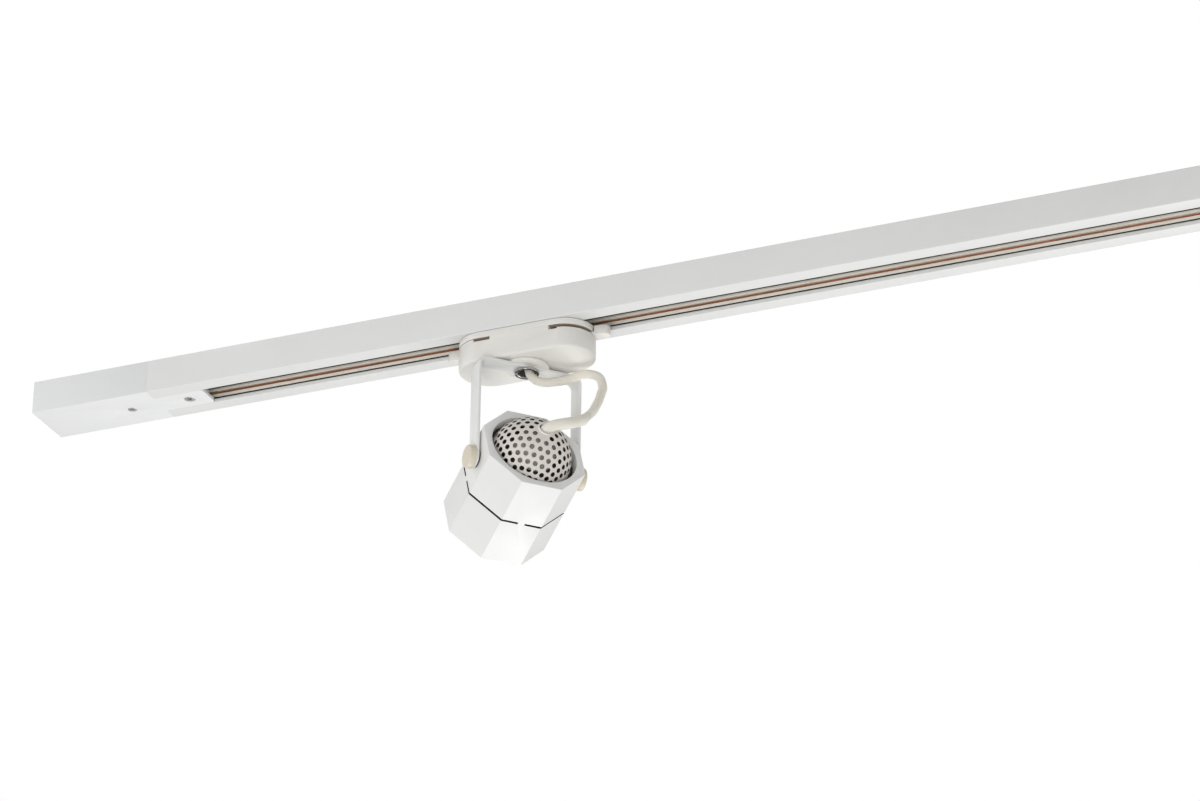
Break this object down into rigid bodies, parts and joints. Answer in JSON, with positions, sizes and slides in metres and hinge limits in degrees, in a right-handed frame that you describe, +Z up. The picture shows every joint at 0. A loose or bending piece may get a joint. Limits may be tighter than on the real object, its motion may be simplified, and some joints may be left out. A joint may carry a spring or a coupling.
{
  "type": "track spotlight",
  "caption": "Octagonal spotlight tilting in a yoke under a sliding adapter, on a ceiling track with feed and end cap; knobs lock the tilt, a cord enters the perforated rear dome.",
  "frame": {"origin": "on the ceiling face of the track, half way between its two ceiling holes", "axes": "+X along the track away from the feed, +Z up into the ceiling, the lamp hangs towards -Z"},
  "size_m": [1.0765, 0.0852, 0.1441],
  "materials": {
    "track_white": "satin",
    "liner": "matte",
    "copper": "satin",
    "feed_white": "satin",
    "feed_inner": "matte",
    "brass": "satin",
    "steel": "satin",
    "black_steel": "matte",
    "black_fibre": "matte",
    "adapter_white": "satin",
    "cam": "matte",
    "chrome": "polished",
    "lamp_white": "satin",
    "dome_grey": "satin",
    "ivory": "satin",
    "cord": "satin",
    "ceramic": "matte",
    "glass": "polished"
  },
  "bodies": {
    "track": {"track_profile": "track_white", "liner_near": "liner", "liner_far": "liner", "conductor_near": "copper", "conductor_far": "copper", "end_cap": "feed_white", "feed_cover": "feed_white", "feed_base": "feed_inner", "feed_terminal_block": "feed_inner", "feed_terminal_screws": "brass", "feed_contact_near": "brass", "feed_contact_far": "brass", "feed_cover_screw": "steel", "feed_lock_screw": "steel"},
    "adapter": {"adapter_body": "adapter_white", "adapter_top_plate": "adapter_white", "adapter_screws": "steel"},
    "lever_left": {"lock_lever_left": "adapter_white", "lock_cam_left": "cam", "contact_blade_left": "brass"},
    "lever_right": {"lock_lever_right": "adapter_white", "lock_cam_right": "cam", "contact_blade_right": "brass"},
    "yoke": {"swivel_disc": "adapter_white", "swivel_nipple": "chrome", "swivel_washer": "steel", "swivel_nut": "steel", "yoke_strap": "lamp_white", "lamp_cord": "cord"},
    "head": {"lamp_housing": "lamp_white", "perforated_dome": "dome_grey", "dome_collar": "adapter_white", "mounting_plate": "black_steel", "snap_ring": "black_steel", "lampholder": "ceramic", "lamp_body": "ceramic", "lamp_lens": "glass", "front_ring": "lamp_white", "tilt_knobs": "ivory", "tilt_screws": "steel", "tilt_washers": "black_fibre", "tilt_nuts": "black_steel"}
  },
  "joints": [
    {"name": "adapter_slide", "type": "slide", "parent": "track", "child": "adapter", "axis": [1, 0, 0], "range_m": [-0.165, 0.725]},
    {"name": "lock_left_turn", "type": "hinge", "parent": "adapter", "child": "lever_left", "pos_m": [-0.293, 0, -0.025], "axis": [0, 0, 1], "range_deg": [-90, 0]},
    {"name": "lock_right_turn", "type": "hinge", "parent": "adapter", "child": "lever_right", "pos_m": [-0.247, 0, -0.025], "axis": [0, 0, 1], "range_deg": [-90, 0]},
    {"name": "yoke_pan", "type": "hinge", "parent": "adapter", "child": "yoke", "pos_m": [-0.27, 0, -0.0396], "axis": [0, 0, 1], "range_deg": [-222.7, 127.3]},
    {"name": "head_tilt", "type": "hinge", "parent": "yoke", "child": "head", "pos_m": [-0.27, 0, -0.1002], "axis": [0.673, 0.7396, 0], "range_deg": [-67.1, 22.9], "deforming": ["lamp_cord"]}
  ]
}
